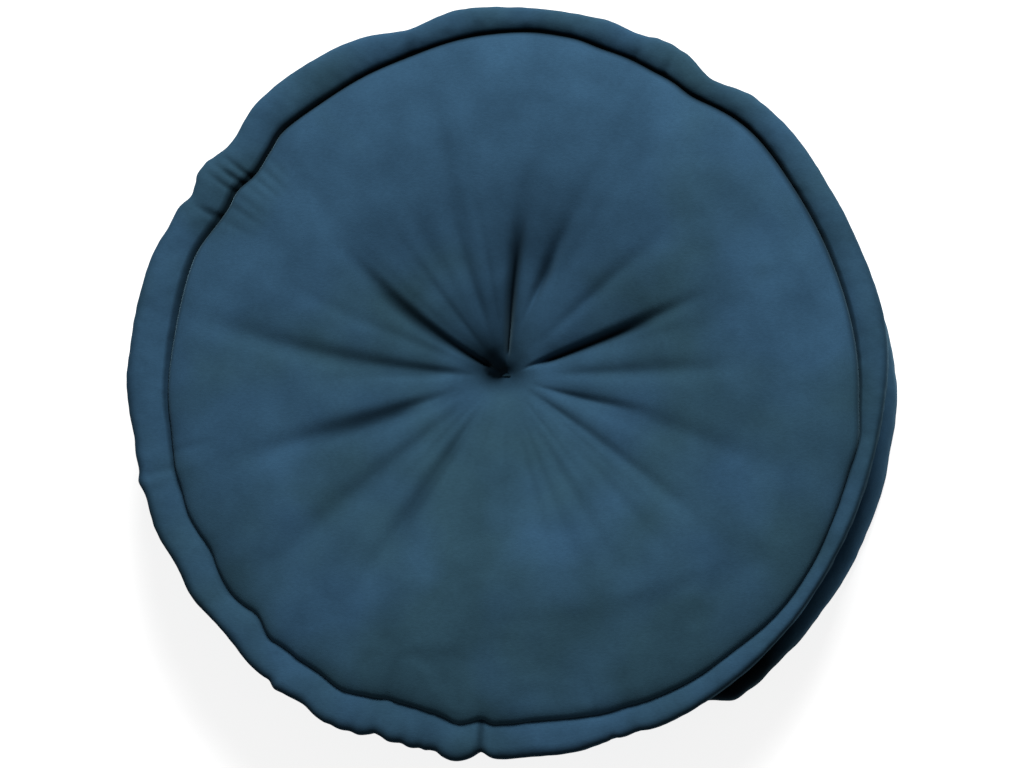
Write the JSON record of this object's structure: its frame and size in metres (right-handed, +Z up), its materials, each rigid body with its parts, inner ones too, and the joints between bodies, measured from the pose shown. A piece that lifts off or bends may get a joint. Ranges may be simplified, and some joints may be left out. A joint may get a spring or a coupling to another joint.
{
  "type": "seat cushion",
  "caption": "Round box seat cushion with rolled edges, a recessed side band and a stitched centre tuft over a foam and wadding filling.",
  "frame": {"origin": "centre of the underside, on the surface the cushion lies on", "axes": "+Z up through the centre tuft; +X and +Y lie in the plane of the cushion, and the join in the side band is near +Y"},
  "size_m": [0.4, 0.4, 0.08],
  "materials": {
    "velvet": "petrol blue short-pile velvet",
    "velvet_shade": "petrol blue short-pile velvet of the side band",
    "cotton": "undyed cotton filler rope",
    "wadding": "white polyester wadding",
    "foam": "pale yellow upholstery foam",
    "thread": "dark blue polyester thread and tufting cord"
  },
  "bodies": {
    "root": {"top_panel": "velvet", "bottom_panel": "velvet", "side_band": "velvet_shade", "top_roll_cover": "velvet", "bottom_roll_cover": "velvet", "top_roll_rope": "cotton", "bottom_roll_rope": "cotton", "top_seam_stitches": "thread", "bottom_seam_stitches": "thread", "band_join_stitches": "thread", "foam_core": "foam", "top_wadding": "wadding", "bottom_wadding": "wadding", "side_wadding": "wadding", "tuft_cord": "thread", "tuft_knot": "thread"}
  },
  "joints": []
}
